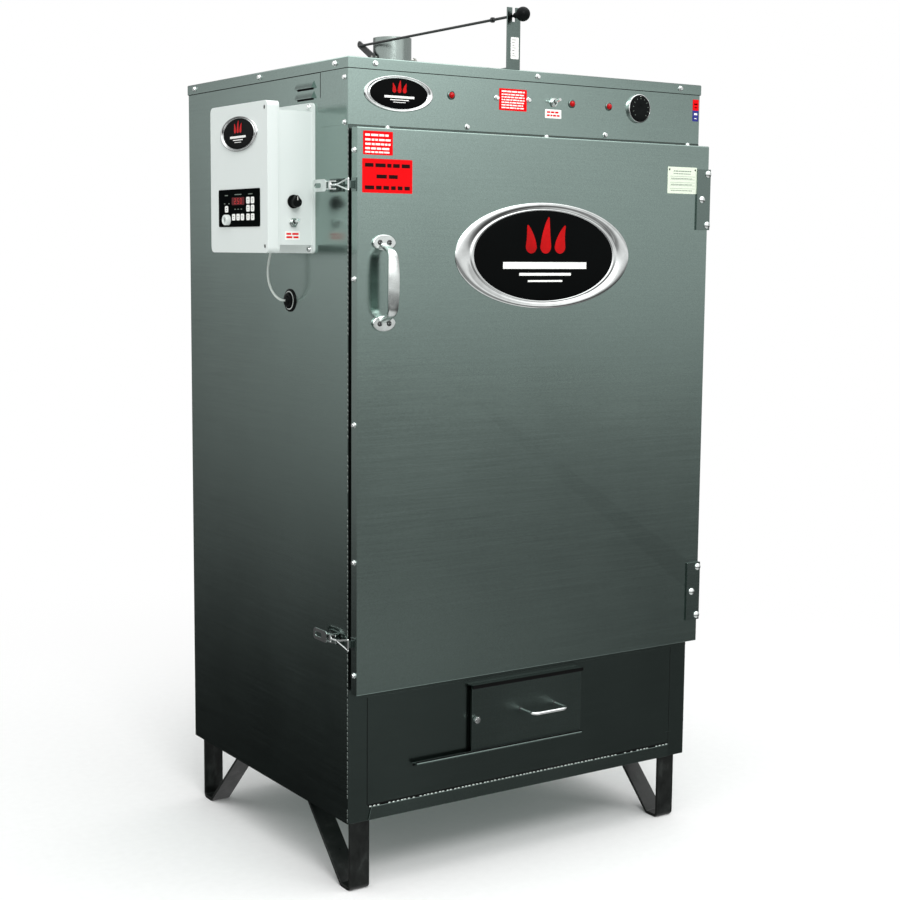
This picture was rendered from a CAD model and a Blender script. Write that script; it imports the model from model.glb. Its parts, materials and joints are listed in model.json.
import json
import math
import random
import bmesh
import bpy
from mathutils import Matrix, Vector


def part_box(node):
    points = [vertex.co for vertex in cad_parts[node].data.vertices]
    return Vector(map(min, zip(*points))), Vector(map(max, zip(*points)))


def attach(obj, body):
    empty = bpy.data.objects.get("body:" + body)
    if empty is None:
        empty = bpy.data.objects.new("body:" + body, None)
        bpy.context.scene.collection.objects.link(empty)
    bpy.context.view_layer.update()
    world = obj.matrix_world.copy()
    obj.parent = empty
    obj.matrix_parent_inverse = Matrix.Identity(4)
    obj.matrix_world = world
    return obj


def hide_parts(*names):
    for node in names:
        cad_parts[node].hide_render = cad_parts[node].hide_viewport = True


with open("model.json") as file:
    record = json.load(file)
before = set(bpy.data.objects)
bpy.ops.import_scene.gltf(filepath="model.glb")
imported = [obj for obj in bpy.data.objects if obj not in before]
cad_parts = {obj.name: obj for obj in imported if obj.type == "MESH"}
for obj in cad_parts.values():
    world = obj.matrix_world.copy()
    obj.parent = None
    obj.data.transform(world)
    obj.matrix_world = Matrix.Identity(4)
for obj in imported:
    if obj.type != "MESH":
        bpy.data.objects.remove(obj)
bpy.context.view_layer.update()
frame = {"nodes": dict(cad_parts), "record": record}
record = frame["record"]

# Lengths are millimetres from the cabinet's front left corner on the floor, if not noted:
# X to the right, Y to the back, Z up. at() turns them into the part's own metres.
MM = 0.001
CORNER = Vector((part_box("front_frame")[0].x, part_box("front_frame")[0].y, 0.0))
WIDTH, DEPTH, BASE, ROOF = 760.0, 615.0, 128.0, 1417.0
HEADER_Z, CONTROL_Z = 1308.0, 1366.0
DOOR_FRONT = -29.0


def at(x, y, z):
    return Vector((CORNER.x + x * MM, CORNER.y + y * MM, z * MM))


def put(name, data):
    """A new object in the scene."""
    obj = bpy.data.objects.new(name, data)
    bpy.context.scene.collection.objects.link(obj)
    return obj


for thing in [thing for thing in bpy.data.objects if thing.type in {"CAMERA", "LIGHT"}]:
    bpy.data.objects.remove(thing)

# Camera
CAMERA_AT = (-1344.9, -2326.2, 1104.8)
YAW, PITCH, ROLL = map(math.radians, (33.654, 6.986, 0.495))
LENS, SENSOR = 64.93, 36.0  # millimetres


def make_camera():
    forward = Vector((math.sin(YAW) * math.cos(PITCH), math.cos(YAW) * math.cos(PITCH), -math.sin(PITCH)))
    level = Vector((math.cos(YAW), -math.sin(YAW), 0.0))
    upright = level.cross(forward)
    right = level * math.cos(ROLL) + upright * math.sin(ROLL)
    up = upright * math.cos(ROLL) - level * math.sin(ROLL)
    data = bpy.data.cameras.new("camera")
    data.sensor_width = SENSOR
    data.lens = LENS
    data.clip_end = 100.0
    camera = put("camera", data)
    turn = Matrix((right, up, -forward)).transposed().to_4x4()
    camera.matrix_world = Matrix.Translation(at(*CAMERA_AT)) @ turn
    bpy.context.scene.camera = camera


make_camera()

# Materials


def linear(value):
    value /= 255.0
    return value / 12.92 if value <= 0.04045 else ((value + 0.055) / 1.055) ** 2.4


def rgb(r, g, b):
    return (linear(r), linear(g), linear(b))


def scaled(colour, k=1.0):
    """A colour made brighter or darker, with the opacity that the nodes want."""
    return tuple(min(1.0, c * k) for c in colour[:3]) + (1.0,)


class Tree:
    """A node tree, with short calls that add a node and feed its inputs."""

    def __init__(self, owner):
        owner.use_nodes = True
        self.tree = owner.node_tree

    def feed(self, socket, value):
        """Gives an input a plain value, or links it to the output that drives it."""
        if isinstance(value, bpy.types.NodeSocket):
            self.tree.links.new(value, socket)
        else:
            socket.default_value = value

    def add(self, kind, inputs, out=0, operation=None, smooth=False):
        """Adds a node and returns one of its outputs, if it has any."""
        node = self.tree.nodes.new("ShaderNode" + kind)
        if operation:
            node.operation = operation
        if smooth:
            node.interpolation_type = "SMOOTHSTEP"
        for name, value in inputs.items():
            self.feed(node.inputs[name], value)
        return node.outputs[out] if node.outputs else None

    def ramp(self, value, stops):
        node = self.tree.nodes.new("ShaderNodeValToRGB")
        elements = node.color_ramp.elements
        while len(elements) < len(stops):
            elements.new(0.5)
        for element, (position, colour) in zip(elements, stops):
            element.position = position
            element.color = colour
        self.feed(node.inputs["Fac"], value)
        return node.outputs["Color"]


class Nodes(Tree):
    """A material's node tree, with the textures that the looks are made from."""

    def __init__(self, name):
        self.material = bpy.data.materials.new(name)
        super().__init__(self.material)
        self.shader = self.tree.nodes["Principled BSDF"]
        self.place = self.add("TexCoord", {}, "Object")

    def set(self, name, value):
        self.feed(self.shader.inputs[name], value)

    def noise(self, scale, detail=3.0, stretch=(1.0, 1.0, 1.0), roughness=0.5):
        place = self.add("Mapping", {"Scale": stretch, "Vector": self.place})
        return self.add("TexNoise", {"Scale": scale, "Detail": detail, "Roughness": roughness,
                                     "Vector": place})

    def spread(self, value, low, high):
        """Stretches the part of a noise that matters, 0.3 to 0.7, over low to high."""
        return self.add("MapRange", {"From Min": 0.3, "From Max": 0.7, "To Min": low, "To Max": high,
                                     "Value": value})

    def total(self, a, b):
        return self.add("Math", {0: a, 1: b}, operation="ADD")

    def bump(self, height, strength, distance):
        self.set("Normal", self.add("Bump", {"Strength": strength, "Distance": distance, "Height": height}))


def sheet_steel(name, colour, dark, rough, streak=(1.5, 1.5, 90.0), grain=0.05):
    """Satin sheet: cloudy tone, faint level streaks and a fine grain."""
    n = Nodes(name)
    n.set("Metallic", 1.0)
    cloud = n.noise(3.2, 4.0, (1.0, 1.0, 0.8), 0.55)
    streaks = n.noise(5.0, 5.0, streak, 0.6)
    fine = n.noise(1500.0, 2.0)
    speckle = n.noise(430.0, 3.0, (1.0, 1.0, 1.3))
    tone = n.total(n.total(n.spread(cloud, 0.0, 0.30), n.spread(streaks, 0.0, 0.20)),
                     n.spread(speckle, 0.0, 0.5))
    n.set("Base Color", n.ramp(tone, [(0.0, scaled(colour, dark)), (1.0, scaled(colour))]))
    worn = n.total(n.spread(streaks, 0.0, 0.05), n.spread(cloud, rough[0], rough[1] - 0.05))
    n.set("Roughness", worn)
    n.bump(n.total(n.spread(fine, 0.0, 1.0), n.spread(streaks, 0.0, 0.6)), grain, 0.0002)
    return n.material


def bright_steel(name, colour, rough, scale=400.0, bump=0.05):
    """Polished or plated metal, with small changes of tone and shine."""
    n = Nodes(name)
    n.set("Metallic", 1.0)
    blotch = n.noise(60.0, 4.0)
    fine = n.noise(scale, 3.0)
    n.set("Base Color", n.ramp(n.spread(blotch, 0.0, 1.0),
                               [(0.0, scaled(colour, 0.82)), (1.0, scaled(colour))]))
    n.set("Roughness", n.spread(fine, rough[0], rough[1]))
    n.bump(fine, bump, 0.0002)
    return n.material


def coat(name, colour, rough, vary=0.9, scale=300.0, bump=0.08, glow=None, shine=0.5):
    """Plastic, paint, rubber or print: tone, shine and texture all vary a little."""
    n = Nodes(name)
    broad = n.noise(14.0, 4.0)
    fine = n.noise(scale, 3.0)
    mixed = n.total(n.spread(broad, 0.0, 0.6), n.spread(fine, 0.0, 0.4))
    n.set("Base Color", n.ramp(mixed, [(0.0, scaled(colour, vary)), (1.0, scaled(colour))]))
    n.set("Roughness", n.spread(broad, rough[0], rough[1]))
    n.set("Specular IOR Level", shine)
    if glow:
        n.set("Emission Color", scaled(colour))
        n.set("Emission Strength", glow)
    n.bump(fine, bump, 0.0003)
    return n.material


def printed(name, colour, vary, shine=0.5, rough=(0.34, 0.44)):
    return coat(name, colour, rough, vary, 500.0, 0.03, shine=shine)


WHITE = (1, 1, 1, 1)
STEEL = (0.276, 0.360, 0.331)
M = {
    "stainless": sheet_steel("satin_steel", STEEL, 0.74, (0.13, 0.22)),
    "lower_steel": sheet_steel("lower_steel", scaled(STEEL, 0.34), 0.80, (0.18, 0.28)),
    "rail_steel": sheet_steel("rail_steel", scaled(STEEL, 0.50), 0.70, (0.16, 0.26)),
    "slide_steel": sheet_steel("slide_steel", scaled(STEEL, 0.27), 0.70, (0.30, 0.42)),
    "hinge_steel": sheet_steel("hinge_steel", scaled(STEEL, 0.66), 0.80, (0.16, 0.26)),
    "dark_groove": coat("dark_groove", (0.002, 0.002, 0.002), (0.6, 0.8), 0.6, 300.0, 0.2, shine=0.1),
    "door_steel": sheet_steel("door_steel", STEEL, 0.74, (0.13, 0.21), (1.2, 1.2, 60.0)),
    "inner_steel": sheet_steel("chamber_steel", (0.46, 0.47, 0.44), 0.75, (0.26, 0.42), (2, 2, 30)),
    "stack_steel": sheet_steel("stack_steel", (0.30, 0.35, 0.33), 0.80, (0.22, 0.34), (40, 40, 2)),
    "bright_metal": bright_steel("polished_metal", (0.80, 0.83, 0.82), (0.07, 0.15)),
    "zinc_steel": bright_steel("zinc_plate", (0.62, 0.67, 0.65), (0.10, 0.20), 220.0, 0.10),
    "cast_pull": bright_steel("polished_casting", (0.78, 0.83, 0.81), (0.10, 0.20), 130.0, 0.14),
    "weld": bright_steel("weld_metal", (0.52, 0.58, 0.55), (0.28, 0.45), 500.0, 0.25),
    "seam_weld": bright_steel("seam_weld_metal", (0.26, 0.30, 0.28), (0.28, 0.45), 500.0, 0.25),
    "chrome": bright_steel("chrome_plate", (0.82, 0.85, 0.84), (0.03, 0.07), 300.0, 0.02),
    "dark_weld": bright_steel("dark_weld_metal", (0.10, 0.12, 0.11), (0.35, 0.5), 500.0, 0.25),
    "dark_steel": coat("dark_oxide", (0.018, 0.020, 0.020), (0.32, 0.5), 0.6, 250.0, 0.12),
    "element_sheath": coat("heated_sheath", (0.045, 0.036, 0.030), (0.42, 0.62), 0.5, 180.0, 0.2),
    "white_plastic": coat("white_moulding", rgb(216, 224, 221), (0.30, 0.42), 0.97, 900.0, 0.06),
    "black_plastic": coat("black_moulding", (0.005, 0.006, 0.006), (0.26, 0.40), 0.7, 600.0, 0.06,
                          shine=0.05),
    "keypad": coat("keypad_film", (0.003, 0.004, 0.004), (0.24, 0.34), 0.8, 900.0, 0.04, shine=0.0),
    "badge": coat("badge_enamel", (0.0025, 0.003, 0.003), (0.10, 0.16), 0.8, 300.0, 0.01, shine=0.02),
    "badge_red": coat("badge_red", rgb(214, 12, 16), (0.16, 0.24), 0.45, 30.0, 0.02, shine=0.12),
    "red_lens": coat("red_lens", rgb(186, 6, 10), (0.08, 0.14), 0.7, 200.0, 0.02, shine=0.2),
    "board": coat("solder_mask", (0.012, 0.085, 0.035), (0.3, 0.42), 0.7, 200.0, 0.05),
    "gasket": coat("silicone_strip", (0.010, 0.011, 0.011), (0.55, 0.7), 0.7, 250.0, 0.2),
    "wool": coat("mineral_wool", (0.50, 0.42, 0.20), (0.85, 1.0), 0.6, 160.0, 1.0),
    "lead_jacket": coat("lead_jacket", rgb(196, 204, 199), (0.34, 0.46), 0.9, 700.0, 0.1),
    "label_red": printed("red_print", rgb(222, 8, 16), 0.93, 0.08),
    "label_dark": printed("dark_print", rgb(30, 8, 8), 0.85, 0.08, (0.36, 0.46)),
    "label_white": printed("white_print", rgb(240, 242, 238), 0.96),
    "label_pale": printed("pale_print", rgb(218, 229, 210), 0.95),
    "label_grey": printed("grey_print", rgb(110, 122, 112), 0.9, 0.5, (0.36, 0.46)),
    "label_blue": printed("blue_print", rgb(18, 26, 120), 0.85),
    "display": coat("display_window", rgb(84, 14, 18), (0.12, 0.2), 0.7, 300.0, 0.01, shine=0.1),
    "digits": coat("display_digits", rgb(196, 30, 30), (0.3, 0.4), 0.95, 300.0, 0.01, glow=0.05, shine=0.1),
}


def leg_paint():
    n = Nodes("leg_bar")
    blotch = n.noise(45.0, 5.0, (1.0, 1.0, 0.6), 0.62)
    fine = n.noise(420.0, 3.0)
    tones = ((0.30, (0.003, 0.004, 0.0035)), (0.55, (0.008, 0.010, 0.009)), (0.75, (0.032, 0.038, 0.035)))
    n.set("Base Color", n.ramp(blotch, [(place, scaled(tone)) for place, tone in tones]))
    n.set("Roughness", n.spread(blotch, 0.26, 0.50))
    n.set("Metallic", 0.35)
    n.bump(n.total(fine, blotch), 0.25, 0.0005)
    return n.material


M["black_legs"] = leg_paint()

# Shapes
BODY_OF = {node: body for body, nodes in record["behaviour"]["bodies"].items() for node in nodes}
SLOT_OF = {part["node"]: part["material_slot"] for part in record["subparts"]}
SHARP, CRISP = math.radians(50.0), math.radians(30.0)  # shaded as sharp, and bevelled
FLAT = math.radians(0.6)  # what still counts as one flat face
TINY = 1e-6

# Each face's own directions: u to its right, v up, seen from outside
FACE = {"front": ((1, 0, 0), (0, 0, 1)), "left": ((0, -1, 0), (0, 0, 1)), "right": ((0, 1, 0), (0, 0, 1)),
        "top": ((1, 0, 0), (0, 1, 0))}
FRONT, LEFT = (0, -1, 0), (-1, 0, 0)  # the ways out of the front and of the left side


def skin(part, rings):
    """Faces between closed rings of vertices."""
    for low, high in zip(rings, rings[1:]):
        for k in range(len(low)):
            j = (k + 1) % len(low)
            part.faces.new((low[k], low[j], high[j], high[k]))


def rect(x, z):
    return [(x[0], z[0]), (x[1], z[0]), (x[1], z[1]), (x[0], z[1])]


def bar(w, h):
    return rect((-w / 2, w / 2), (-h / 2, h / 2))


def notched(r, depth, every, count):
    """A circle whose edge has a notch at every few points."""
    turns = [(2 * math.pi * k / count, r - (depth if k % every == 0 else 0.0)) for k in range(count)]
    return [(reach * math.cos(t), reach * math.sin(t)) for t, reach in turns]


class Shape:
    """Collects plain solids into one mesh; lengths are millimetres from the corner."""

    def __init__(self, material="stainless"):
        self.bm = bmesh.new()
        self.names = []
        self.use(material)

    def use(self, material):
        if material not in self.names:
            self.names.append(material)
        self.index = self.names.index(material)
        return self

    def take(self, part, bevel=0.0, segments=3, eased=None):
        """Adds a solid, with its crisp edges, or those that eased picks, bevelled."""
        bmesh.ops.recalc_face_normals(part, faces=part.faces)
        if bevel:
            edges = [e for e in part.edges if len(e.link_faces) == 2 and e.calc_face_angle(0.0) > CRISP
                     and (eased is None or eased(e))]
            bmesh.ops.bevel(part, geom=edges, offset=bevel * MM, segments=segments, profile=0.5,
                            affect="EDGES", clamp_overlap=True)
        for face in part.faces:
            face.material_index = self.index
        mesh = bpy.data.meshes.new("part")
        part.to_mesh(mesh)
        part.free()
        self.bm.from_mesh(mesh)
        bpy.data.meshes.remove(mesh)
        return self

    def box(self, x, y, z):
        part = bmesh.new()
        bmesh.ops.create_cube(part, size=1.0)
        low, high = at(x[0], y[0], z[0]), at(x[1], y[1], z[1])
        for v in part.verts:
            v.co = Vector([low[i] if v.co[i] < 0 else high[i] for i in range(3)])
        return self.take(part)

    def rod(self, a, b, r, sides=32):
        a, b = at(*a), at(*b)
        part = bmesh.new()
        bmesh.ops.create_cone(part, cap_ends=True, segments=sides, radius1=r * MM, radius2=r * MM,
                              depth=(b - a).length)
        turn = Vector((0, 0, 1)).rotation_difference(b - a).to_matrix().to_4x4()
        bmesh.ops.transform(part, matrix=Matrix.Translation((a + b) / 2) @ turn, verts=part.verts)
        return self.take(part)

    def lathe(self, profile, origin, axis, sides=64):
        """Turns (radius, height) points round an axis; radius 0 ends close it."""
        turn = Vector((0, 0, 1)).rotation_difference(Vector(axis).normalized())
        part = bmesh.new()
        rings = []
        for r, h in profile:
            turns = [2 * math.pi * k / sides for k in range(sides)] if r > TINY else [0.0]
            points = [Vector((r * math.cos(t), r * math.sin(t), h)) for t in turns]
            rings.append([part.verts.new(at(*origin) + turn @ p * MM) for p in points])
        for low, high in zip(rings, rings[1:]):
            for k in range(sides):
                j = (k + 1) % sides
                corners = []
                for v in (low[k % len(low)], low[j % len(low)], high[j % len(high)], high[k % len(high)]):
                    if v not in corners:
                        corners.append(v)
                if len(corners) > 2:
                    part.faces.new(corners)
        closed = (rings[0][0].co - rings[-1][0].co).length <= 1e-7
        if not closed:
            for ring in (rings[0], rings[-1]):
                if len(ring) > 1:
                    part.faces.new(ring)
        elif len(rings[0]) > 1:
            bmesh.ops.remove_doubles(part, verts=part.verts, dist=TINY)
        return self.take(part)

    def loft(self, rings):
        """Skins closed rings of points, in metres, and caps both ends."""
        part = bmesh.new()
        made = [[part.verts.new(p) for p in ring] for ring in rings]
        skin(part, made)
        part.faces.new(made[0])
        part.faces.new(made[-1])
        return self.take(part)

    def sweep(self, points, r, sides=16):
        points = [at(*p) for p in points]
        return self.loft(tube_rings(points, r * MM, sides))

    def slab(self, outline, origin, face, depth, bevel=0.0, segments=3):
        """Pushes a flat outline out of a face."""
        u, v = map(Vector, FACE[face])
        out = u.cross(v).normalized() * depth * MM
        base = at(*origin)
        part = bmesh.new()
        ring = [part.verts.new(base + (u * p[0] + v * p[1]) * MM) for p in outline]
        face = part.faces.new(ring)
        lifted = bmesh.ops.extrude_face_region(part, geom=[face])["geom"]
        lifted = [g for g in lifted if isinstance(g, bmesh.types.BMVert)]
        bmesh.ops.translate(part, vec=out, verts=lifted)
        return self.take(part, bevel, segments)

    def ball(self, centre, r, stretch=(1, 1, 1), detail=20):
        part = bmesh.new()
        bmesh.ops.create_uvsphere(part, u_segments=detail, v_segments=detail // 2 + 2, radius=r * MM)
        place = Matrix.Translation(at(*centre)) @ Matrix.Diagonal((*stretch, 1))
        bmesh.ops.transform(part, matrix=place, verts=part.verts)
        return self.take(part)

    def node(self, name, bevel, eased=None):
        """A CAD node's shape, its flat faces made whole and its edges eased."""
        part = bmesh.new()
        part.from_mesh(frame["nodes"][name].data)
        bmesh.ops.remove_doubles(part, verts=part.verts, dist=TINY)
        bmesh.ops.dissolve_limit(part, angle_limit=FLAT, verts=part.verts, edges=part.edges)
        return self.take(part, bevel, eased=eased)

    def make(self, name, body, slot, *replaced):
        mesh = bpy.data.meshes.new(name)
        self.bm.to_mesh(mesh)
        self.bm.free()
        for material in self.names:
            mesh.materials.append(M[material])
        mesh.shade_smooth()
        mesh.set_sharp_from_angle(angle=SHARP)
        obj = put(name, mesh)
        even = obj.modifiers.new("even", "WEIGHTED_NORMAL")
        even.keep_sharp = True
        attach(obj, body)
        if replaced:
            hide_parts(*replaced)
        return obj


def tube_rings(points, r, sides):
    """Rings of a tube along points, with no twist."""
    rings = []
    side = None
    for i, p in enumerate(points):
        along = (points[min(i + 1, len(points) - 1)] - points[max(i - 1, 0)]).normalized()
        if side is None:
            side = along.orthogonal().normalized()
        side = (side - along * side.dot(along)).normalized()
        other = along.cross(side)
        rings.append([p + (side * math.cos(t) + other * math.sin(t)) * r
                      for t in (2 * math.pi * k / sides for k in range(sides))])
    return rings


def catmull(points, steps):
    """A smooth line through points."""
    out = []
    last = len(points) - 1
    for i in range(last):
        a, b, c, d = (Vector(points[max(0, min(last, j))]) for j in (i - 1, i, i + 1, i + 2))
        for s in range(steps):
            t = s / steps
            out.append(0.5 * (2 * b + (c - a) * t + (2 * a - 5 * b + 4 * c - d) * t * t
                              + (3 * b - a - 3 * c + d) * t * t * t))
    out.append(Vector(points[last]))
    return out


def arc(centre, r, start, end, steps=8):
    """Points of a flat arc, angles in degrees."""
    return [(centre[0] + r * math.cos(math.radians(start + (end - start) * k / steps)),
             centre[1] + r * math.sin(math.radians(start + (end - start) * k / steps)))
            for k in range(steps + 1)]


def round_rect(w, h, r, steps=6):
    """A round-cornered rectangle about the origin."""
    x, y = w / 2 - r, h / 2 - r
    return (arc((x, -y), r, -90, 0, steps) + arc((x, y), r, 0, 90, steps)
            + arc((-x, y), r, 90, 180, steps) + arc((-x, -y), r, 180, 270, steps))


def oval(w, h, steps=96):
    turns = [2 * math.pi * k / steps for k in range(steps)]
    return [(w / 2 * math.cos(t), h / 2 * math.sin(t)) for t in turns]


# Lead from the control box into the chamber wall
LEAD_ROUTE = [
    (-36, 203, 1124), (-36, 203, 1112), (-37, 205, 1098), (-39, 208, 1082), (-40, 209, 1066),
    (-39, 208, 1050), (-35, 206, 1036), (-28, 204, 1025), (-19, 202, 1018), (-11, 202, 1017),
]
LEAD_D = 4.0


def make_lead():
    line = [at(*p) for p in catmull(LEAD_ROUTE, 4)]
    curve = bpy.data.curves.new("probe_lead", "CURVE")
    curve.dimensions = "3D"
    curve.bevel_depth = LEAD_D / 2 * MM
    curve.bevel_resolution = 6
    curve.use_fill_caps = True
    spline = curve.splines.new("POLY")
    spline.points.add(len(line) - 1)
    for point, p in zip(spline.points, line):
        point.co = (*p, 1.0)
    curve.materials.append(M["lead_jacket"])
    lead = put("probe_lead", curve)
    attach(lead, "cabinet")
    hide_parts("signal_lead")


make_lead()

# CAD nodes that keep their shape, with eased edges
EASED = {  # node: width of its eased edges, in millimetres
    "left_side_panel": 0.5, "right_side_panel": 0.5, "back_panel": 0.6, "front_frame": 0.5,
    "lower_front_panel": 0.5, "bottom_panel": 0.5, "top_cap": 1.8, "drip_tray": 0.4, "sawdust_pan": 0.4,
    "fan_motor": 1.2, "fan_wheel": 0.3, "thermostat": 0.8, "switch_bodies": 0.4, "power_switch_lever": 0.7,
    "box_switch_lever": 0.7, "speed_control": 0.6, "terminal_block": 0.8, "control_box": 1.6,
    "control_box_lid": 2.6, "controller_board": 0.2, "exhaust_stack": 0.4, "damper_blade": 0.4,
    "damper_crank": 0.6, "rod_bracket": 0.7, "door_skin": 2.2, "door_back_pan": 0.5, "door_gasket": 2.6,
    "door_hinge_leaves": 0.7, "frame_hinge_leaves": 0.7, "latch_bases": 0.35, "upper_latch_lever": 0.3,
    "upper_latch_bail": 0.3, "lower_latch_lever": 0.3, "lower_latch_bail": 0.3, "latch_keepers": 0.35,
    "sawdust_door": 0.6, "heating_elements": 0.3, "damper_rod": 0.4, "control_deck": 0.4,
}
OWN_LOOK = {  # nodes whose material isn't the one that their slot names
    "front_frame": "lower_steel", "lower_front_panel": "lower_steel", "exhaust_stack": "stack_steel",
    "rod_bracket": "rail_steel", "door_skin": "door_steel", "door_hinge_leaves": "hinge_steel",
    "frame_hinge_leaves": "hinge_steel", "latch_bases": "rail_steel", "latch_keepers": "hinge_steel",
    "sawdust_door": "slide_steel",
}
LONG_EDGE = 0.3  # metres


def on_door_face(edge):
    """The level edges of the door's front; the upright ones stay crisp."""
    front = all(v.co.y < at(0, DOOR_FRONT + 0.05, 0).y for v in edge.verts)
    return front and abs(edge.verts[0].co.x - edge.verts[1].co.x) > LONG_EDGE


def on_roof(edge):
    return edge.calc_length() > LONG_EDGE and all(v.co.z > (ROOF - 0.05) * MM for v in edge.verts)


EASED_EDGES = {"door_skin": on_door_face, "top_cap": on_roof}


def ease_nodes():
    for name, width in EASED.items():
        slot = SLOT_OF[name]
        shape = Shape(OWN_LOOK.get(name, slot)).node(name, width, EASED_EDGES.get(name))
        shape.make(name + "_eased", BODY_OF[name], slot, name)
    for name, obj in frame["nodes"].items():
        for place in obj.material_slots:
            place.material = M[SLOT_OF[name]]


ease_nodes()

# Casing
HEADER_LAP = 0.8
HEADER_BACK = 91.0


def make_header():
    """The header sheet, bent back round both front corners over the side panels."""
    out, r, t = HEADER_LAP, 2.6, 1.5
    left = [(-out, HEADER_BACK)] + arc((-out + r, r), r, 180, 270)
    right = arc((WIDTH + out - r, r), r, 270, 360) + [(WIDTH + out, HEADER_BACK)]
    inner = arc((WIDTH + out - r, r), r - t, 360, 270) + arc((-out + r, r), r - t, 270, 180)
    outline = left + right + [(WIDTH + out - t, HEADER_BACK)] + inner + [(-out + t, HEADER_BACK)]
    shape = Shape("stainless").slab(outline, (0, 0, HEADER_Z + 0.3), "top", ROOF - 17.5 - HEADER_Z, 0.35)
    shape.make("header_wrap", "cabinet", "stainless", "header_panel")


make_header()


def make_lap_shadows():
    """Dark lines where one sheet laps another, and in the mouths of the louvres."""
    shape = Shape("dark_groove")
    low, high = ROOF - 19.0, ROOF - 17.6
    shape.box((-1.0, WIDTH + 1.0), (-1.0, -0.4), (low, high))
    shape.box((-1.0, -0.4), (0, DEPTH), (low, high))
    shape.box((WIDTH + 0.4, WIDTH + 1.0), (0, DEPTH), (low, high))
    for x in (-0.5, WIDTH):
        shape.box((x, x + 0.5), (HEADER_BACK, HEADER_BACK + 2.2), (1357, ROOF - 19.0))
        for z in (ROOF - 59, ROOF - 42):
            shape.box((x, x + 0.5), (117, 173), (z - 2.6, z + 2.0))
    shape.make("lap_shadows", "cabinet", "stainless")


make_lap_shadows()


def weld_row(shape, a, b, width, height, pitch, seed, gaps=0.0, out=FRONT, long=0.75):
    """A run of beads from a to b; long is a bead's half length, in pitches, and gaps
    is how often one to three of them are left out."""
    dice = random.Random(seed)
    a, b, out = Vector(a), Vector(b), Vector(out)
    along = (b - a).normalized()
    count = int((b - a).length / pitch)
    skip = 0
    for k in range(count):
        if skip > 0:
            skip -= 1
            continue
        if dice.random() < gaps:
            skip = dice.randint(1, 3)
        p = a + along * (k + 0.5 + dice.uniform(-0.15, 0.15)) * pitch
        size = width * dice.uniform(0.8, 1.15)
        stretch = [1.0, 1.0, 1.0]
        for i in range(3):
            stretch[i] = (abs(along[i]) * pitch * long + abs(out[i]) * height
                          + (1 - abs(along[i]) - abs(out[i])) * size / 2)
        shape.ball(p, 1.0, stretch, 10)


def make_welds():
    shape = Shape("seam_weld")
    for x, seed, out in ((0.2, 3, LEFT), (WIDTH - 0.2, 4, (1, 0, 0))):
        weld_row(shape, (x, 1.6, 130), (x, 1.6, 1304), 3.2, 0.9, 8.5, seed, 0.02, out, 0.42)
    shape.use("weld")
    weld_row(shape, (40, -1.2, 152.4), (520, -1.2, 152.4), 2.9, 1.3, 8.0, 5, 0.03, long=0.36)
    weld_row(shape, (520, -1.2, 152.4), (720, -1.2, 152.4), 2.6, 1.1, 8.0, 6, 0.14, long=0.34)
    shape.make("seam_welds", "cabinet", "stainless")
    dark = Shape("dark_weld")
    for x in (150, 212, 284, 352, 420, 478):
        weld_row(dark, (x, -0.6, 211.6), (x + 24, -0.6, 211.6), 6.5, 3.0, 4.5, x)
    dark.use("dark_groove")
    dark.box((40, 720), (-0.5, 0.2), (151.6, 155.6))
    dark.box((131, 496), (-0.5, 0.2), (209.6, 213.0))
    dark.box((131, 496), (-13.3, -13.0), (217.6, 219.9))
    dark.use("hinge_steel")
    dark.rod((131.4, -12.2, 215.6), (495.6, -12.2, 215.6), 1.5, 16)
    dark.use("dark_groove")
    dark.box((249, 497), (-13.4, -13.0), (332.6, 339.0))
    for x in (38.4, 721.0):
        dark.box((x, x + 0.9), (-0.12, 0.2), (156, 346))
    dark.make("rail_welds", "cabinet", "stainless")


make_welds()


def make_bottom_rail():
    shape = Shape("rail_steel")
    shape.slab([(40, 128.4), (720, 128.4), (720, 152), (46, 152)], (0, -0.1, 0), "front", 2.4, 0.9)
    shape.make("bottom_rail", "cabinet", "stainless")


make_bottom_rail()

# Legs


BAR_WIDE = 39.0


def offset_path(path, d):
    """A path's points, each moved square to it by d."""
    out = []
    for i, p in enumerate(path):
        a, b = path[max(i - 1, 0)], path[min(i + 1, len(path) - 1)]
        length = math.hypot(b[0] - a[0], b[1] - a[1])
        out.append((p[0] - (b[1] - a[1]) / length * d, p[1] + (b[0] - a[0]) / length * d))
    return out


def make_legs():
    """Each leg is one flat bar, bent round from an upright to a foot to a brace."""
    half, r = 3.0, 7.0
    in_y, foot_end = 13.0, 49.0
    tan = math.tan(math.radians(22.5))
    path = [(in_y + half, BASE - 0.2)] + arc((in_y + half + r, half + r), r, 180, 270)
    bend = (foot_end - 3.5, half)
    path += arc((bend[0] - r * tan, half + r), r, 270, 315)
    path += [(bend[0] + BASE - half - 0.2, BASE - 0.2)]
    outline = offset_path(path, half) + offset_path(path, -half)[::-1]
    top = BASE - 0.1
    outline = [(p[0], min(max(p[1], 0.05), top)) for p in outline]
    shape = Shape("black_legs")
    for sx in (0, 1):
        for sy in (0, 1):
            x = WIDTH - 12.0 - BAR_WIDE if sx else 12.0
            turned = [((DEPTH - p[0]) if sy else p[0], p[1]) for p in outline]
            shape.slab(turned, (x, 0, 0), "right", BAR_WIDE, 0.8)
    shape.make("leg_bars", "cabinet", "black_legs", "legs")


make_legs()

# Fasteners


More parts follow.
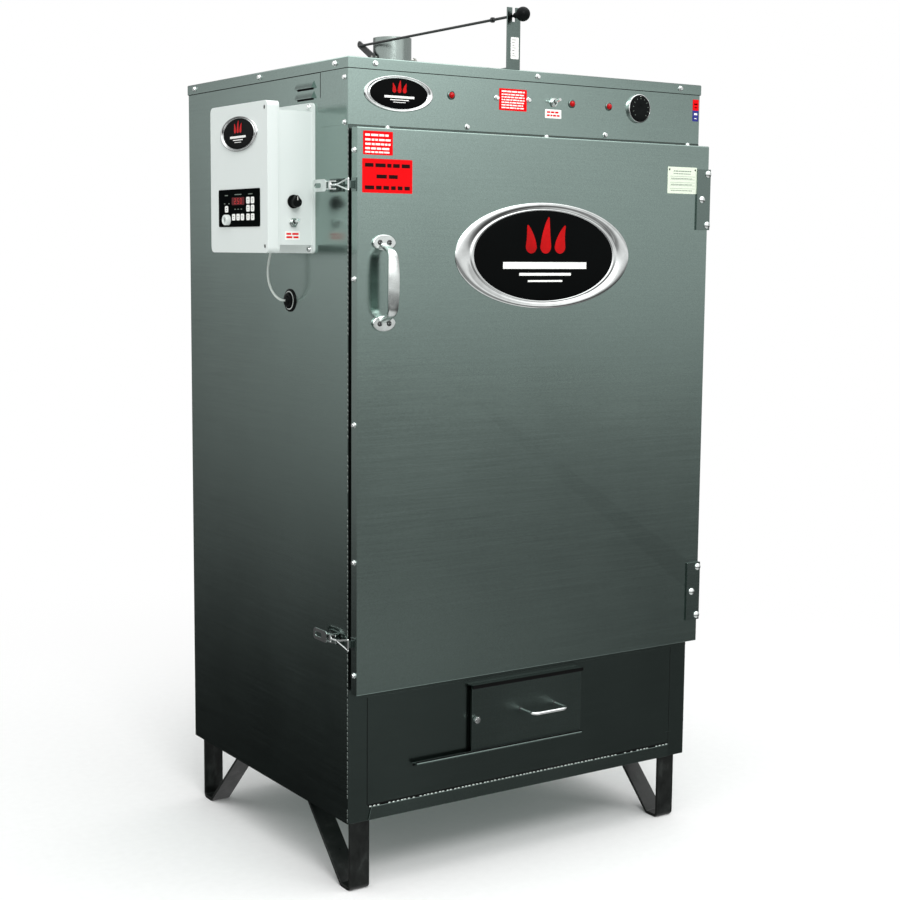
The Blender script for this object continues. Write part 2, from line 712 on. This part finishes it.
def islands(mesh):
    """Corner points of each separate solid of a mesh."""
    parent = list(range(len(mesh.vertices)))

    def root(i):
        while parent[i] != i:
            parent[i] = parent[parent[i]]
            i = parent[i]
        return i

    for edge in mesh.edges:
        a, b = root(edge.vertices[0]), root(edge.vertices[1])
        parent[a] = b
    seen = {}
    for v in mesh.vertices:
        key = tuple(round(c * 1e5) for c in v.co)
        if key in seen:
            parent[root(v.index)] = root(seen[key])
        seen[key] = v.index
    groups = {}
    for v in mesh.vertices:
        groups.setdefault(root(v.index), []).append(v.co.copy())
    return [groups[k] for k in sorted(groups)]


def local(point):
    """The opposite of at()."""
    return Vector(((point.x - CORNER.x) / MM, (point.y - CORNER.y) / MM, point.z / MM))


SHANK_R, SHORTEST, HEX_LONG = 2.3, 9.5, 10.05  # a screw's size, the shortest, and what has a hex head
PULL_SIDE, HINGE_SIDE = 90.0, 735.0  # how far across the door the pull's and the hinges' screws are


def screw_place(points):
    """A screw's outermost point, the way that its head points, and its length."""
    low = Vector([min(p[i] for p in points) for i in range(3)])
    high = Vector([max(p[i] for p in points) for i in range(3)])
    centre = (low + high) / 2
    i = max(range(3), key=lambda k: high[k] - low[k])
    for end, top_end, sign in ((low, high, 1), (high, low, -1)):
        ring = [p for p in points if abs(p[i] - end[i]) < 2e-5]
        spread = max(math.sqrt(sum((p[j] - centre[j]) ** 2 for j in range(3) if j != i)) for p in ring)
        if spread < SHANK_R * MM and high[i] - low[i] > SHORTEST * MM:
            top = centre.copy()
            top[i] = top_end[i]
            return top, Vector([sign if j == i else 0 for j in range(3)]), (high[i] - low[i]) / MM
    return None


def head(shape, top, out, tall, rim, sides=32):
    """A head turned from (radius, height) points, with its top at the screw's."""
    shape.lathe([(0, 0)] + rim + [(0, tall)], local(top) - out * tall, out, sides)


HEAD_TALL, PAN_TALL = 4.2, 2.0
PAN = [(4.0, 0.0), (4.0, 0.5), (3.7, 1.05), (3.1, 1.5), (2.2, 1.8), (1.1, 1.96)]
BOLT = [(6.8, 0.0), (6.8, 0.7), (6.3, 1.7), (5.3, 2.7), (3.9, 3.5), (2.0, 4.05)]


def hex_head(shape, top, out):
    """A washer and a hexagon."""
    base = local(top) - out * HEAD_TALL
    shape.lathe([(0, 0.0), (5.0, 0.0), (5.0, 0.6), (4.5, 1.1), (0, 1.1)], base, out, 32)
    shape.lathe([(0, 1.0), (4.0, 1.0), (4.0, 3.4), (3.3, 4.15), (0, 4.15)], base, out, 6)


def slotted_head(shape, top, out):
    """A dark domed head with a bright slot across it."""
    shape.use("dark_steel")
    head(shape, top, out, PAN_TALL, [(r * 1.1, h) for r, h in PAN])
    middle = local(top) - out * 0.25
    shape.use("zinc_steel")
    shape.box(*((c - half, c + half) for c, half in zip(middle, (3.2, 0.2, 0.5))))


def make_fasteners(node, name):
    shape = Shape("bright_metal")
    on_door = node == "door_fasteners"
    for points in islands(frame["nodes"][node].data):
        place = screw_place(points)
        if place is None:
            continue
        top, out, length = place
        x = local(top).x
        shape.use("bright_metal")
        if on_door and out.y < -0.5 and x > HINGE_SIDE:
            head(shape.use("cast_pull"), top, out, HEAD_TALL, BOLT)
        elif length > HEX_LONG:
            hex_head(shape, top, out)
        elif on_door and x < PULL_SIDE:
            slotted_head(shape, top, out)
        else:
            head(shape, top, out, PAN_TALL, PAN)
    shape.make(name, BODY_OF[node], SLOT_OF[node], node)


make_fasteners("fasteners", "casing_screws")
make_fasteners("door_fasteners", "door_screws")

# Badges: an oval rim round black enamel, with plain flames and bars instead of a mark


RIM = [  # how far out from the enamel to the edge, and how thick there, both as shares
    (1.0, 0.0), (1.0, 0.30), (0.975, 0.56), (0.93, 0.77), (0.86, 0.91), (0.77, 0.99), (0.68, 1.0),
    (0.58, 0.95), (0.48, 0.84), (0.39, 0.68), (0.31, 0.46), (0.26, 0.30), (0.20, 0.30), (0.17, 0.52),
    (0.12, 0.62), (0.07, 0.60), (0.03, 0.50), (0.0, 0.36),
]
ENAMEL_LOW, ENAMEL_RISE, MARK_LIFT, MARK_THICK = 0.42, 0.42, 0.70, 0.24  # shares of the thickness


def flame(x, tall, lean, size):
    """A drop's outline: round below, drawn up to a leaning point."""
    points = []
    for k in range(24):
        c, s = math.cos(math.pi * 2 * k / 24), math.sin(math.pi * 2 * k / 24)
        up = max(0.0, s)
        r = 0.075 * (1 - 0.5 * up)
        points.append(((x + r * c + lean * up ** 2) * size, (0.10 + s * (tall if s > 0 else 0.075)) * size))
    return points


def badge(shape, centre, face, w, h, inner, thick):
    u, v = map(Vector, FACE[face])
    out = u.cross(v)

    def ring(part, width, height, lift, share=1.0):
        return [part.verts.new(at(*centre) + (u * x * share + v * z * share + out * thick * lift) * MM)
                for x, z in oval(width, height)]

    shape.use("chrome")
    part = bmesh.new()
    rings = [ring(part, inner[0] + (w - inner[0]) * k, inner[1] + (h - inner[1]) * k, lift)
             for k, lift in RIM]
    skin(part, rings)
    part.faces.new(rings[0])
    part.faces.new(rings[-1])
    shape.take(part)
    shape.use("badge")
    part = bmesh.new()
    dome = [(x, ENAMEL_LOW + ENAMEL_RISE * z) for x, z in arc((0, 0), 1.0, 0, 90)[:-1]]
    rings = [ring(part, *inner, lift, share) for share, lift in [(1.0, 0.2)] + dome]
    tip = part.verts.new(at(*centre) + out * thick * (ENAMEL_LOW + ENAMEL_RISE) * MM)
    skin(part, rings)
    for a, b in zip(rings[-1], rings[-1][1:] + rings[-1][:1]):
        part.faces.new((a, b, tip))
    part.faces.new(rings[0])
    shape.take(part)
    size = inner[1]
    lifted = Vector(centre) + out * thick * MARK_LIFT
    shape.use("badge_red")
    for x, tall, lean in ((-0.20, 0.24, -0.05), (0.0, 0.33, 0.04), (0.20, 0.24, 0.07)):
        shape.slab(flame(x, tall, lean, size), lifted, face, thick * MARK_THICK)
    shape.use("label_white")
    for z, half, tall in ((-0.07, 0.58, 0.075), (-0.19, 0.36, 0.03), (-0.27, 0.24, 0.02)):
        shape.slab(rect((-half * size, half * size), ((z - tall) * size, z * size)), lifted, face,
                   thick * MARK_THICK, 0.1, 2)
    return shape


badge(Shape("badge"), (380.5, DOOR_FRONT, 1098), "front", 379, 184, (303, 157), 3.0).make(
    "door_emblem", "door", "badge", "door_badge")
small = badge(Shape("badge"), (96, 0, 1362), "front", 134, 59, (112, 50), 2.5)
badge(small, (-90, 216.5, 1300), "left", 140, 60, (116, 51), 2.5)
small.make("small_emblems", "cabinet", "badge", "badges")

# Labels: plain plates with bars where the print would be


def label(name, body, slot, corner, size, ground, bars):
    """bars holds (x, z, width, height, material), from the plate's lower left corner."""
    shape = Shape(ground)
    w, h = size
    plate = [(x + w / 2, z + h / 2) for x, z in round_rect(w, h, 1.6, 4)]
    shape.slab(plate, corner, "front", 0.3, 0.08, 1)
    for x, z, bw, bh, material in bars:
        shape.use(material)
        shape.slab(rect((x, x + bw), (z, z + bh)), Vector(corner) + Vector(FRONT) * 0.25, "front", 0.12)
    return shape.make(name, body, slot)


WORD_GAP = 0.32  # of the height of the print


def words(rows, left, right, material, seed):
    """Rows of short bars, (z, height) each, broken up as lines of print are."""
    dice = random.Random(seed)
    bars = []
    for z, tall in rows:
        x = left
        while x < right - tall:
            w = min(right - x, tall * dice.uniform(1.3, 4.2))
            bars.append((x, z, w, tall, material))
            x += w + tall * (WORD_GAP + dice.uniform(0.15, 0.4))
    return bars


label("small_red_label", "door", "red_lens", (10.5, DOOR_FRONT, 1259), (56.5, 38), "label_red",
      words([(30, 3.4), (22.5, 3.2), (15.5, 3.2), (8.5, 3.2), (3.0, 2.6)], 4, 52, "label_white", 11))
label("large_red_label", "door", "red_lens", (9, DOOR_FRONT, 1198), (96, 55), "label_red",
      words([(41.5, 6.0), (5.5, 6.0)], 5, 91, "label_dark", 12)
      + words([(23.5, 6.0)], 27, 70, "label_dark", 19))
label("data_plate", "door", "white_plastic", (660, DOOR_FRONT, 1214), (71, 48.5), "label_pale",
      words([(40, 1.8), (35.5, 1.4)], 14, 57, "label_grey", 13)
      + [(5, z, 61, 0.5, "label_grey") for z in (31, 25.5, 20, 14.5, 9)]
      + words([(27, 1.2), (16, 1.2), (5, 1.2)], 8, 60, "label_grey", 14)
      + [(2.5, 42.0, 3.2, 3.2, "black_plastic"), (65.3, 42.0, 3.2, 3.2, "black_plastic")])
label("header_label", "cabinet", "red_lens", (299, 0, 1347), (59, 37), "label_red",
      words([(31, 2.6), (26, 2.2), (21.5, 2.2), (17, 2.2), (12.5, 2.2), (8, 2.2), (3.5, 2.2)], 5, 54,
            "label_white", 15))
label("switch_label", "cabinet", "white_plastic", (398, 0, 1338.5), (36, 15.5), "label_white",
      words([(9, 3), (3.4, 3)], 4, 32, "label_red", 16))
label("corner_sticker", "cabinet", "red_lens", (742.5, 0, 1350), (14.5, 40), "label_blue",
      [(0, 20, 14.5, 20, "label_red"), (3, 30.5, 8.5, 2.2, "label_white"), (4.5, 24.5, 6, 1.6, "label_white"),
       (3.8, 11.5, 7.5, 3.6, "label_white"), (4.5, 4.5, 5.5, 1.6, "label_white")])
label("box_switch_label", "cabinet", "white_plastic", (-57, 113, 1121), (28, 15), "label_white",
      words([(8.6, 3.2), (3, 3.2)], 2.5, 25.5, "label_red", 17))
label("rod_scale", "cabinet", "white_plastic", (323.5, 2, 1435), (17, 37), "label_white",
      [(3, 5 + 4.5 * k, 8 if k % 3 == 0 else 5, 0.8, "black_plastic") for k in range(7)])

# Door handle


def make_handle():
    x0, z0 = 50.0, 1051.5
    squareness = 0.55  # of the bar's section; 1 is an ellipse
    shape = Shape("cast_pull")
    half = [  # height from the middle, distance out from the door, width, thickness
        (0, 32.4, 21.5, 7.0), (14, 32.3, 21.3, 7.0), (28, 31.6, 20.4, 7.0), (38, 30.6, 19.2, 7.2),
        (45, 29.0, 18.0, 7.6), (50, 25.5, 15.6, 8.0), (53.5, 20.5, 13.6, 8.2), (56.5, 14.5, 13.4, 8.2),
        (59.5, 8.5, 15.5, 8.0), (63, 3.5, 19.0, 6.0),
    ]
    stations = [(-a, b, c, d) for a, b, c, d in half[::-1]] + half[1:]
    smooth = catmull([(s[0], s[1], 0) for s in stations], 4)
    sizes = catmull([(s[2], s[3], 0) for s in stations], 4)
    rings = []
    for i, p in enumerate(smooth):
        a, b = smooth[max(i - 1, 0)], smooth[min(i + 1, len(smooth) - 1)]
        along = Vector((0, -(b.y - a.y), b.x - a.x)).normalized()
        thick = Vector((1, 0, 0)).cross(along)
        ring = []
        for k in range(20):
            t = 2 * math.pi * k / 20
            c, s = math.cos(t), math.sin(t)
            u = math.copysign(abs(c) ** squareness, c) * sizes[i].x / 2
            v = math.copysign(abs(s) ** squareness, s) * sizes[i].y / 2
            ring.append(at(x0, DOOR_FRONT - p.y, z0 + p.x) + (Vector((1, 0, 0)) * u + thick * v) * MM)
        rings.append(ring)
    shape.loft(rings)
    for k in (-1, 1):
        foot = []
        for j in range(40):
            t = 2 * math.pi * j / 40
            c, s = math.cos(t), math.sin(t)
            reach = 13.8 if s * k > 0 else 12.0
            foot.append((22.0 * math.copysign(abs(c) ** 0.85, c), reach * math.copysign(abs(s) ** 1.15, s)))
        shape.slab(foot, (x0, DOOR_FRONT, z0 + k * 65.5), "front", 4.0, 1.5)
    shape.make("pull_handle", "door", "cast_pull", "door_handle")


make_handle()

# Header controls


PILOTS_X, DIAL_X = (200, 457, 541), 610


def make_pilots():
    shape = Shape("rail_steel")
    for x in PILOTS_X:
        place = (x, 0, CONTROL_Z)
        shape.use("rail_steel")
        shape.lathe([(0, 0), (7.5, 0), (7.5, 1.0), (6.6, 2.0), (5.6, 2.0), (5.3, 1.0), (0, 1.0)],
                    place, FRONT, 48)
        shape.use("red_lens")
        dome = [(5.2 * x, 1.0 + 5.2 * z) for x, z in arc((0, 0), 1.0, 0, 90)[:-1]]
        shape.lathe([(0, -22.0), (5.2, -22.0)] + dome + [(0, 6.2)], place, FRONT, 32)
    shape.make("pilot_lamps", "cabinet", "red_lens", "pilot_lights")


make_pilots()


def make_dial():
    ring = Shape("bright_metal")
    ring.lathe([(23.5, 0.1), (25.9, 0.1), (25.9, 4.2), (25.3, 5.0), (24.2, 5.2), (23.5, 4.6), (23.5, 0.1)],
               (DIAL_X, 0, CONTROL_Z), FRONT, 96)
    ring.make("dial_bezel", "cabinet", "bright_metal")
    shape = Shape("black_plastic")
    shape.slab(notched(22.9, 1.1, 6, 144), (DIAL_X, -3.0, CONTROL_Z), "front", 4.0, 0.6, 2)
    shape.lathe([(0, 3.8), (21.4, 3.8), (20.8, 4.5), (14.0, 4.9), (7.2, 4.9), (6.6, 4.4), (0, 4.4)],
                (DIAL_X, -3, CONTROL_Z), FRONT)
    shape.use("label_grey")
    for k in range(11):  # marks every 27 degrees of the dial's 270
        t = math.radians(-135 + 27 * k)
        c, s = math.cos(t), math.sin(t)
        mark = [(x * c + z * s, z * c - x * s) for x, z in rect((-0.4, 0.4), (-1.2, 1.2))]
        shape.slab(mark, (DIAL_X + 17.6 * s, -7.65, CONTROL_Z + 17.6 * c), "front", 0.2)
    shape.use("label_white")
    shape.slab(rect((-0.7, 0.7), (20.2, 22.2)), (DIAL_X, -6.95, CONTROL_Z), "front", 0.2)
    shape.make("dial", "thermostat_dial", "black_plastic", "thermostat_dial")


make_dial()

# Control box
LID_X = -90.0
KEYS = ([(y, z) for y in (164.5, 181.5) for z in (1159.5, 1174.0, 1187.5)]
        + [(y, 1159.5) for y in (203.0, 219.5, 236.5)] + [(264.0, 1173.5)])
KEY_LINES = ((265, 1197, 12), (173, 1198, 16), (219.5, 1198, 26), (272, 1183, 5), (255, 1183, 5),
             (231, 1173, 5), (219, 1173, 5), (207, 1173, 5))  # y, z and width of the small print
SEGMENTS = {"2": "abged", "0": "abcdef", "5": "afgcd"}


def digit(shape, char, centre, w, h):
    """One seven-bar figure of the display."""
    t = w * 0.2
    bars = {"a": (0, h / 2, w, t), "d": (0, -h / 2, w, t), "g": (0, 0, w, t),
            "f": (-w / 2, h / 4, t, h / 2), "e": (-w / 2, -h / 4, t, h / 2),
            "b": (w / 2, h / 4, t, h / 2), "c": (w / 2, -h / 4, t, h / 2)}
    for name in SEGMENTS[char]:
        u, v, bw, bh = bars[name]
        figure = rect((u - bw / 2, u + bw / 2), (v - bh / 2, v + bh / 2))
        shape.slab(figure, (LID_X - 1.3, *centre), "left", 0.15)


def make_keypad():
    shape = Shape("keypad")
    shape.slab(round_rect(157.5, 64, 3), (LID_X, 217.25, 1175.0), "left", 1.0, 0.3, 2)
    for y, z in KEYS:
        shape.use("label_white")
        shape.slab(round_rect(12.4, 11.2, 2.4), (LID_X - 0.9, y, z), "left", 0.6, 0.25, 2)
        shape.use("label_grey")
        shape.slab(bar(5.2, 1.2), (LID_X - 1.42, y, z + 1.6), "left", 0.12)
        shape.slab(bar(3.2, 1.0), (LID_X - 1.42, y, z - 1.6), "left", 0.12)
    y, z = 219.5, 1186.7
    shape.use("display")
    shape.slab(round_rect(48, 13, 2), (LID_X - 0.9, y, z), "left", 0.45, 0.15, 2)
    shape.use("digits")
    for k, char in enumerate("250"):
        digit(shape, char, (y + 11 - 11 * k, z), 5.0, 8.0)
    shape.use("label_grey")
    for y, z, w in KEY_LINES:
        shape.slab(bar(w, 1.4), (LID_X - 0.95, y, z), "left", 0.15)
    shape.make("keypad_overlay", "cabinet", "keypad", "keypad_panel")


make_keypad()


def make_jack():
    place = (LID_X, 257, 1155)
    shape = Shape("white_plastic")
    shape.lathe([(3.6, -20), (6.0, -20), (6.0, 1.0), (9.0, 1.0), (9.0, 8.6), (8.2, 9.8), (6.0, 10.0),
                 (5.2, 9.4), (4.4, 6.0), (3.6, 6.0), (3.6, -20)], place, LEFT, 48)
    shape.use("dark_steel")
    shape.lathe([(0, -18), (3.5, -18), (3.5, 3.0), (0, 3.0)], place, LEFT, 24)
    shape.use("keypad")
    shape.lathe([(3.4, 6.02), (5.0, 6.02), (4.6, 6.2), (3.4, 6.2), (3.4, 6.02)], place, LEFT, 32)
    shape.make("probe_socket", "cabinet", "white_plastic", "probe_jack")


make_jack()


def make_knob():
    """Pointer knob: a skirt, a tapered grip drawn out to a point, and a pale line."""
    x, z = -41.0, 1185.0
    face = 113.0
    shape = Shape("black_plastic")
    shape.lathe([(0, 0.6), (11.4, 0.6), (11.4, 2.6), (10.6, 3.8), (0, 4.2)], (x, face, z), FRONT, 48)
    grip = arc((0, -1.2), 8.4, 150, 390, 24) + [(5.2, 5.0), (2.0, 9.6), (0, 10.6), (-2.0, 9.6), (-5.2, 5.0)]
    shape.slab(grip, (x, face - 3.4, z), "front", 12.4, 1.2)
    shape.rod((x, face - 2, z), (x, face + 10, z), 2.9, 24)
    shape.use("label_white")
    shape.slab(rect((-0.5, 0.5), (2.0, 8.4)), (x, face - 15.7, z), "front", 0.2)
    shape.make("pointer_knob", "speed_knob", "black_plastic", "fan_speed_knob")


make_knob()


def make_lid_screws():
    shape = Shape("dark_steel")
    for z in (1110, 1339):
        shape.lathe([(0, -14), (1.5, -14), (1.5, -1.6), (3.2, -1.4), (3.0, -0.7), (1.6, -0.4), (0, -0.35)],
                    (LID_X, 123, z), LEFT, 24)
    shape.make("lid_screws", "cabinet", "dark_steel")


make_lid_screws()


def make_gland():
    shape = Shape("black_plastic")
    place = (0, 202, 1017)
    shape.lathe([(0, 0), (20, 0), (20, 1.4), (19.2, 2.4), (15.5, 2.5), (14.8, 1.9), (0, 1.9)], place, LEFT)
    shape.lathe([(0, 1.5), (14.0, 1.5), (14.0, 6.2), (12.8, 7.0), (0, 7.0)], place, LEFT, 6)
    shape.lathe([(0, 6.5), (8.4, 6.5), (8.4, 8.4), (7.2, 10.0), (4.6, 11.0), (2.3, 11.0), (2.2, 9.0),
                 (0, 9.0)], place, LEFT, 40)
    shape.rod((1, 202, 1017), (12, 202, 1017), 13.6, 40)
    shape.use("lead_jacket")
    shape.lathe([(14.6, 2.2), (16.2, 2.2), (16.2, 2.9), (14.6, 2.9), (14.6, 2.2)], place, LEFT)
    shape.make("gland", "cabinet", "black_plastic", "lead_gland")


make_gland()

# Damper work
ROD_X, ROD_Z, KNOB_Y = 330.0, 1508.0, -24.0


def make_ball_knob():
    shape = Shape("black_plastic")
    r, neck = 12.4, 4.9
    start = math.degrees(math.asin(neck / r))
    ball = arc((0, 0), r, 90 - start, -90, 24)[:-1]
    profile = [(0, 23.0), (2.5, 23.0), (4.4, 23.0), (neck, 22.4), (neck, 13.5)] + ball + [(0, -r)]
    shape.lathe(profile, (ROD_X, KNOB_Y, ROD_Z), (0, 1, 0), 48)
    shape.make("ball_knob", "rod", "black_plastic", "rod_knob")


make_ball_knob()


def make_stack_seam():
    """The beads of the weld round the stack's foot."""
    shape = Shape("weld")
    x, y, r, beads = 380, 484, 38.6, 60
    dice = random.Random(21)
    for k in range(beads):
        t = 2 * math.pi * (k + dice.uniform(-0.2, 0.2)) / beads
        shape.ball((x + r * math.cos(t), y + r * math.sin(t), ROOF + 2.2), 1.0, (2.3, 2.3, 1.7), 8)
    shape.make("stack_weld", "cabinet", "stainless")


make_stack_seam()

# Sawdust door


def make_slide_pull():
    shape = Shape("bright_metal")
    left, right, out, z, back, bend = 357, 434, -50, 280, -9.5, 12
    path = [(left, back, z), (left, out + bend, z)]
    path += [(x, y, z) for x, y in arc((left + bend, out + bend), bend, 180, 270, 8)][1:]
    path += [(x, y, z) for x, y in arc((right - bend, out + bend), bend, 270, 360, 8)]
    path += [(right, back, z)]
    shape.sweep(path, 3.0, 24)
    for x in (left, right):
        shape.rod((x, -10.5, z), (x, -6.5, z), 2.45, 20)
    shape.use("dark_steel")
    for x in (left, right):
        shape.lathe([(0, 0), (4.2, 0), (4.0, 0.8), (3.2, 1.2), (0, 1.2)], (x, back, z), FRONT, 24)
    shape.use("hinge_steel")
    shape.rod((249.6, -9.4, 217), (249.6, -9.4, 335), 0.6, 12)
    shape.make("slide_pull", "sawdust_door", "bright_metal", "sawdust_door_pull")


make_slide_pull()


def make_slide_screw():
    """The locking screw: a milled head with a slot, and its shank."""
    shape = Shape("bright_metal")
    x, y, z = 257, -10.4, 276
    shape.slab(notched(6.0, 0.5, 3, 72), (x, y, z), "front", 6.4, 0.5, 2)
    shape.lathe([(0, 6.2), (4.6, 6.2), (4.2, 6.9), (0, 7.1)], (x, y, z), FRONT, 32)
    shape.rod((x, y, z), (x, -0.9, z), 2.4, 20)
    shape.use("dark_steel")
    shape.slab(bar(8.4, 1.0), (x, -17.2, z), "front", 0.2)
    shape.make("slide_screw", "sawdust_screw", "bright_metal", "sawdust_door_screw")


make_slide_screw()

# Chamber


RACKS_Z, WIRES = (590, 800, 1010), 26


def make_racks():
    """A round bar frame, wires from front to back on it, and two cross bars under them."""
    shape = Shape("bright_metal")
    left, right, near, far = 45.0, 715.0, 38.0, 555.0
    for z in RACKS_Z:
        mid = z + 4.1
        corners = [(left, near, mid), (right, near, mid), (right, far, mid), (left, far, mid)]
        for a, b in zip(corners, corners[1:] + corners[:1]):
            shape.rod(a, b, 3.8, 16)
            shape.ball(a, 3.8, (1, 1, 1), 16)
        for k in range(1, WIRES):
            wire = left + k * (right - left) / WIRES
            shape.rod((wire, near, z + 6.4), (wire, far, z + 6.4), 1.5, 10)
        for t in (1 / 3, 2 / 3):
            across = near - 4 + t * (far - near + 8)
            shape.rod((left, across, z + 3.6), (right, across, z + 3.6), 1.8, 10)
    shape.make("wire_racks", "cabinet", "bright_metal", "racks")


make_racks()

# Floor, light and air


FLOOR_R, FADE_FROM, FADE_TO = 40.0, 0.5, 2.4  # metres: the floor fades into the white round it


def make_floor():
    disc = bmesh.new()
    bmesh.ops.create_circle(disc, cap_ends=True, segments=96, radius=FLOOR_R)
    mesh = bpy.data.meshes.new("floor")
    disc.to_mesh(mesh)
    disc.free()
    material = bpy.data.materials.new("pale_floor")
    n = Tree(material)
    n.tree.nodes.clear()
    place = n.add("TexCoord", {}, "Object")
    away = n.add("VectorMath", {0: place}, "Value", "LENGTH")
    fade = n.add("MapRange", {"From Min": FADE_FROM, "From Max": FADE_TO, "Value": away}, smooth=True)
    grain = n.add("TexNoise", {"Scale": 60.0, "Vector": place})
    tone = n.ramp(grain, [(0.0, (0.86, 0.865, 0.86, 1)), (1.0, (0.91, 0.915, 0.91, 1))])
    matt = n.add("BsdfDiffuse", {"Color": tone})
    glow = n.add("Emission", {"Color": WHITE, "Strength": 1.0})
    n.add("OutputMaterial", {"Surface": n.add("MixShader", {0: fade, 1: matt, 2: glow})})
    mesh.materials.append(material)
    floor = put("floor", mesh)
    floor.visible_glossy = False


make_floor()


# Brightness of the room that the steel mirrors, by elevation in degrees: ahead of the
# front, off to the left side, and how much the front's share fades from left to right
ROOM_FRONT = [(-90, 0.50), (-38, 0.36), (-27, 0.15), (-20, 0.08), (-16, 0.105), (-14, 0.178),
              (-12, 0.155), (-10, 0.152), (-8, 0.228), (-6, 0.24), (-4, 0.45), (-2, 0.58), (2.5, 0.78),
              (3.6, 0.75), (4.8, 0.84), (6, 0.88), (24, 0.75), (50, 1.6), (90, 2.6)]
ROOM_SIDE = [(-90, 0.65), (-38, 0.45), (-27, 0.11), (-20, 0.008), (-15, 0.031), (-12, 0.087), (-9, 0.178),
             (-6, 0.284), (-3, 0.367), (0, 0.51), (5, 0.70), (24, 0.75), (50, 1.6), (90, 2.6)]
FADE = [(-90, 0.3), (-18, 0.75), (-14, 0.95), (-11.5, 0.3), (-9, 0.08), (-2, 0.02), (3, 0.14), (4.5, 0.36),
        (6, 0.85), (24, 0.3), (90, 0.0)]
BRIGHTEST = 2.6
ROOM_GAIN = 1.3
DIFFUSE_SHARE = 0.42  # how much of the room's light reaches matt surfaces
SIDEWAYS = (0.554, -0.832, 0.0)  # from what the side mirrors to what the front mirrors


def make_world():
    """White behind the object; what shines in it is a room that darkens downwards."""
    world = bpy.data.worlds.new("studio")
    bpy.context.scene.world = world
    n = Tree(world)
    n.tree.nodes.clear()
    way = n.add("TexCoord", {}, "Generated")
    across, rise = (n.add("SeparateXYZ", {"Vector": way}, axis) for axis in "XZ")

    def level(source, low, high, start=0.0, end=1.0, smooth=False):
        return n.add("MapRange", {"From Min": low, "From Max": high, "To Min": start, "To Max": end,
                                  "Value": source}, smooth=smooth)

    def work(kind, *values):
        return n.add("Math", dict(enumerate(values)), operation=kind)

    height = level(rise, -1.0, 1.0)

    def by_height(stops):
        return n.ramp(height, [((math.sin(math.radians(angle)) + 1) / 2, (light / BRIGHTEST,) * 3 + (1,))
                               for angle, light in stops])

    fade = work("MULTIPLY", by_height(FADE), level(across, 0.525, 0.645, BRIGHTEST, -0.55 * BRIGHTEST))
    front = work("MULTIPLY", by_height(ROOM_FRONT), work("ADD", fade, 1.0))
    side = work("MULTIPLY", by_height(ROOM_SIDE), level(across, -0.50, -0.405, 1.28, 0.46))
    share = level(n.add("VectorMath", {0: way, 1: SIDEWAYS}, "Value", "DOT_PRODUCT"), -0.6, 0.6, smooth=True)
    mixed = work("MULTIPLY_ADD", share, work("SUBTRACT", front, side), side)
    is_camera, is_diffuse = (n.add("LightPath", {}, kind) for kind in ("Is Camera Ray", "Is Diffuse Ray"))
    gain = level(is_diffuse, 0.0, 1.0, BRIGHTEST * ROOM_GAIN, BRIGHTEST * ROOM_GAIN * DIFFUSE_SHARE)
    room = n.add("Background", {"Color": WHITE, "Strength": work("MULTIPLY", mixed, gain)})
    white = n.add("Background", {"Color": WHITE})
    n.add("OutputWorld", {"Surface": n.add("MixShader", {0: is_camera, 1: room, 2: white})})


make_world()


def area_light(name, place, aim, size, power, glossy=True):
    data = bpy.data.lights.new(name, "AREA")
    data.shape = "RECTANGLE"
    data.size, data.size_y = size
    data.energy = power
    lamp = put(name, data)
    lamp.location = place
    lamp.rotation_euler = (Vector(aim) - Vector(place)).to_track_quat("-Z", "Y").to_euler()
    lamp.visible_glossy = glossy


area_light("key", (-1.2, -2.9, 3.0), (0, 0, 0.9), (1.2, 1.2), 52.0)
area_light("overhead", (0.2, -0.2, 3.4), (0, 0, 0), (3.0, 3.0), 40.0)
area_light("fill", (2.6, -2.2, 1.9), (0, 0, 0.8), (1.2, 1.2), 10.0, False)
bpy.context.scene.view_settings.view_transform = "Standard"
